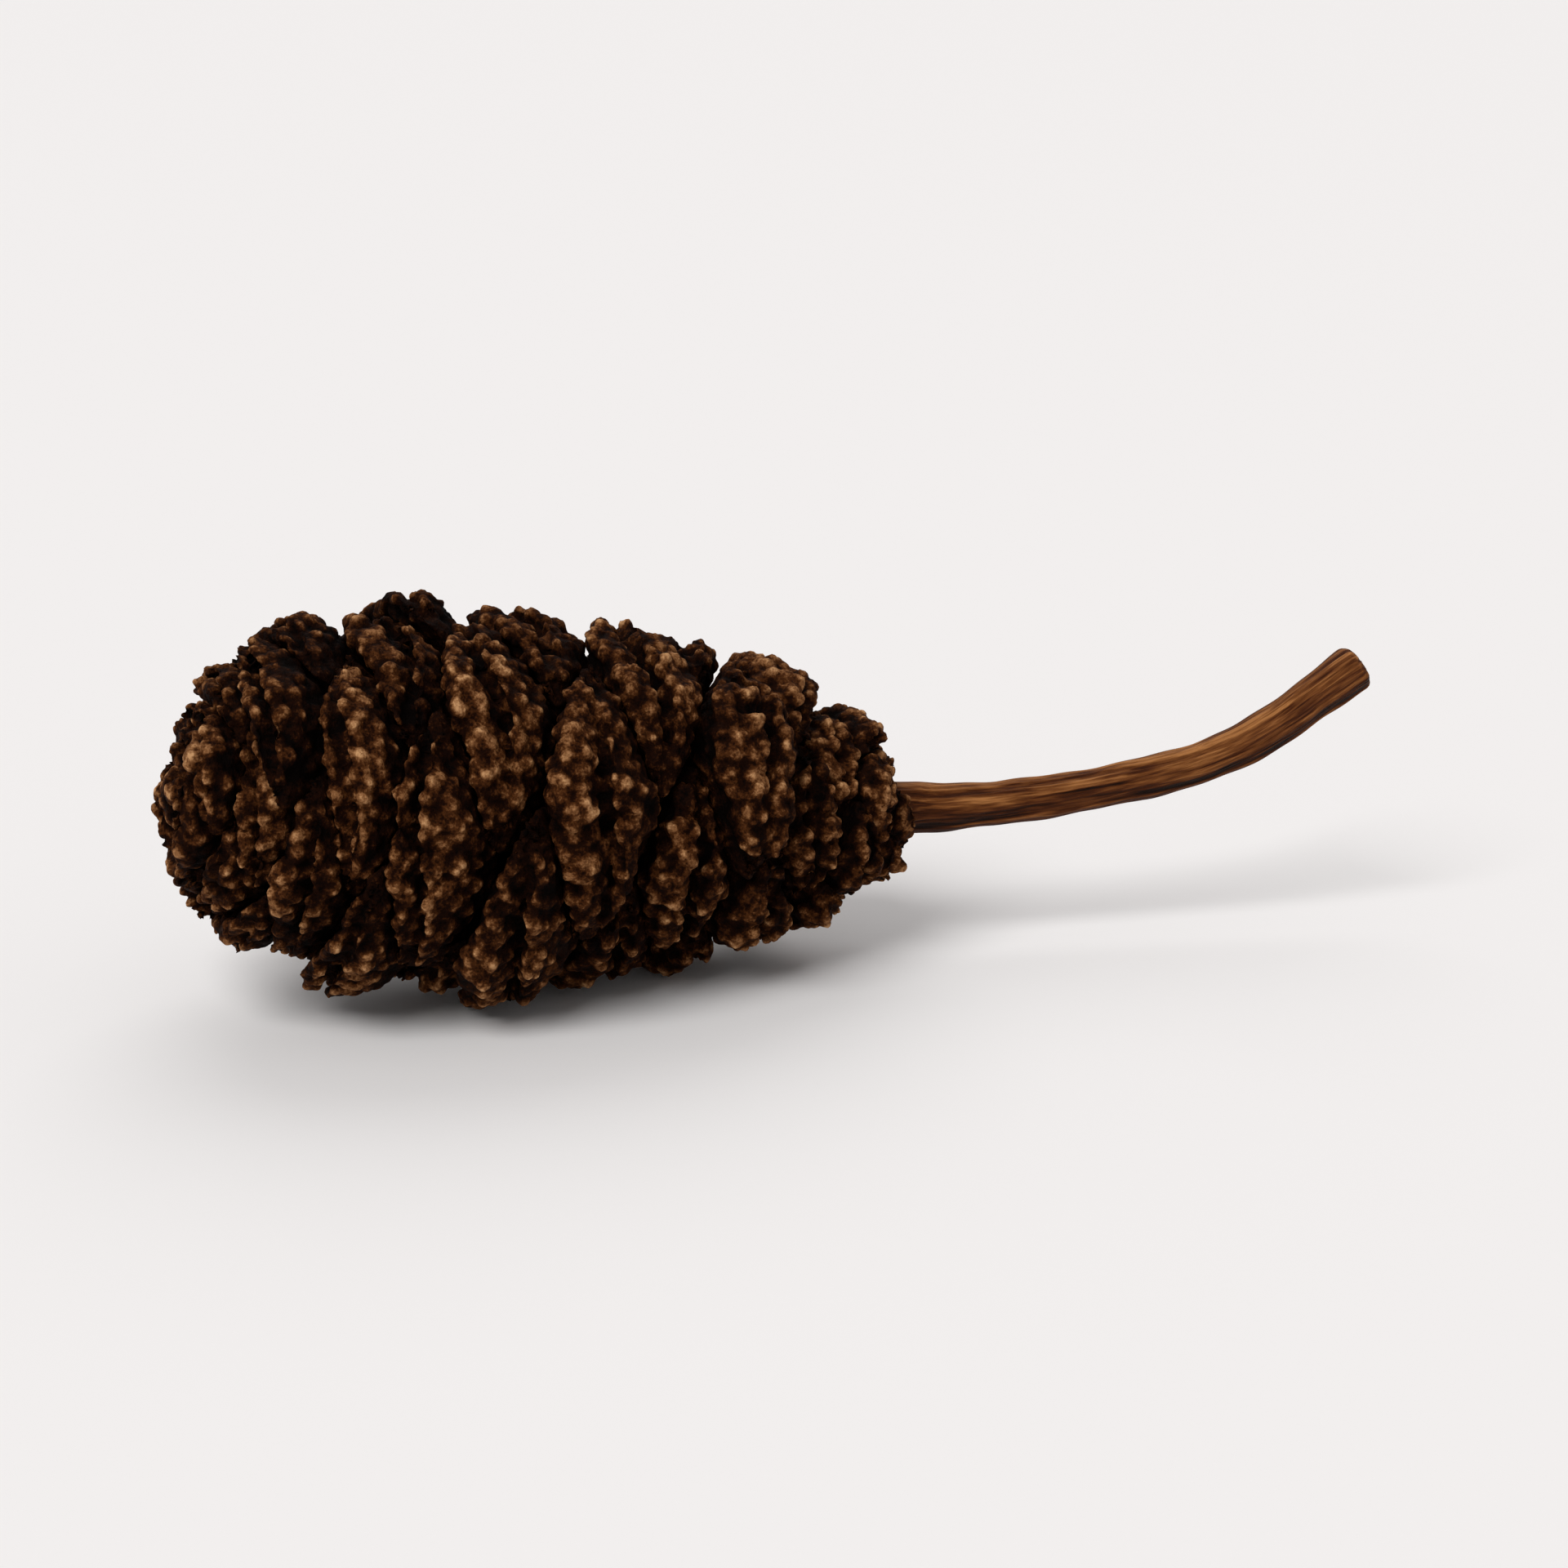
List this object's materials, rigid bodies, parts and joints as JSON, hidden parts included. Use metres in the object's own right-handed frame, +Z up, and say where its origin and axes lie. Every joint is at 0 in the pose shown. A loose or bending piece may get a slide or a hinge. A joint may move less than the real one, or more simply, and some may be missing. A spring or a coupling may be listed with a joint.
{
  "type": "alder cone",
  "caption": "Dried woody alder cone lying on its side, with lens-shaped scales in a spiral round an axis that runs out as a short bent stem.",
  "frame": {"origin": "on the surface that the cone lies on, under the middle of its box", "axes": "+Z up; +X along the cone towards its stem, the tip of the cone to -X; +Y to the back"},
  "size_m": [0.0354, 0.0114, 0.0112],
  "materials": {
    "scale_wood": "dry, dark and granular, with lighter crests and black grooves",
    "stem_wood": "dry twig with lengthwise streaks"
  },
  "bodies": {
    "root": {"stem": "stem_wood", "scale_01": "scale_wood", "scale_02": "scale_wood", "scale_03": "scale_wood", "scale_04": "scale_wood", "scale_05": "scale_wood", "scale_06": "scale_wood", "scale_07": "scale_wood", "scale_08": "scale_wood", "scale_09": "scale_wood", "scale_10": "scale_wood", "scale_11": "scale_wood", "scale_12": "scale_wood", "scale_13": "scale_wood", "scale_14": "scale_wood", "scale_15": "scale_wood", "scale_16": "scale_wood", "scale_17": "scale_wood", "scale_18": "scale_wood", "scale_19": "scale_wood", "scale_20": "scale_wood", "scale_21": "scale_wood", "scale_22": "scale_wood", "scale_23": "scale_wood", "scale_24": "scale_wood", "scale_25": "scale_wood", "scale_26": "scale_wood", "scale_27": "scale_wood", "scale_28": "scale_wood", "scale_29": "scale_wood", "scale_30": "scale_wood", "scale_31": "scale_wood", "scale_32": "scale_wood", "scale_33": "scale_wood", "scale_34": "scale_wood", "scale_35": "scale_wood", "scale_36": "scale_wood", "scale_37": "scale_wood", "scale_38": "scale_wood", "scale_39": "scale_wood", "scale_40": "scale_wood", "scale_41": "scale_wood", "scale_42": "scale_wood", "scale_43": "scale_wood", "scale_44": "scale_wood", "scale_45": "scale_wood", "scale_46": "scale_wood", "scale_47": "scale_wood", "scale_48": "scale_wood", "scale_49": "scale_wood", "scale_50": "scale_wood", "scale_51": "scale_wood", "scale_52": "scale_wood", "scale_53": "scale_wood", "scale_54": "scale_wood", "scale_55": "scale_wood", "scale_56": "scale_wood", "scale_57": "scale_wood", "scale_58": "scale_wood", "tip_knob": "scale_wood"}
  },
  "joints": []
}
